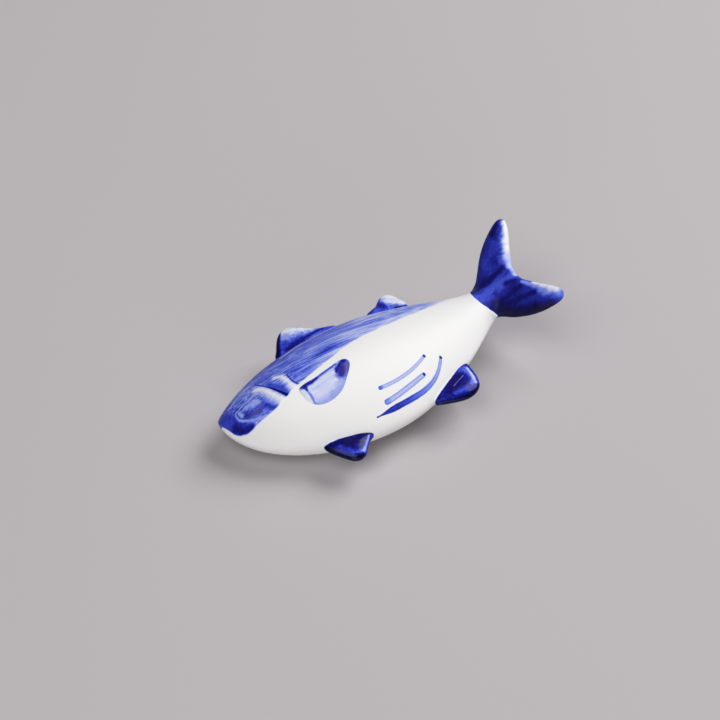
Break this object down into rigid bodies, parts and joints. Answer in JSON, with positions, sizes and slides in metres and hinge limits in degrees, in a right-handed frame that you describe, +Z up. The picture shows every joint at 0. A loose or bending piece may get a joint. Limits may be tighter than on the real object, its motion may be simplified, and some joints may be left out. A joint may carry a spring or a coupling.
{
  "type": "chopstick rest",
  "caption": "Glazed porcelain chopstick rest shaped as a small fish lying on its flank, with fins on its edges and a raised forked tail that keeps the sticks in the dip behind its body.",
  "frame": {"origin": "middle of the flat foot that stands on the table", "axes": "+Z up, +X from the snout towards the tail, +Y towards the back of the fish"},
  "size_m": [0.0704, 0.0365, 0.0198],
  "materials": {
    "white_glaze": "glossy clear glaze over white porcelain, with a brushed cobalt band on the back",
    "cobalt_glaze": "brushed cobalt blue under glossy clear glaze",
    "cobalt_wash": "thin cobalt wash under glossy clear glaze"
  },
  "bodies": {
    "root": {"upper_body": "white_glaze", "lower_body": "white_glaze", "tail_fin": "cobalt_glaze", "front_dorsal_fin": "cobalt_glaze", "rear_dorsal_fin": "cobalt_glaze", "pelvic_fin": "cobalt_glaze", "anal_fin": "cobalt_glaze", "pectoral_fin": "cobalt_wash", "eye": "cobalt_glaze"}
  },
  "joints": []
}
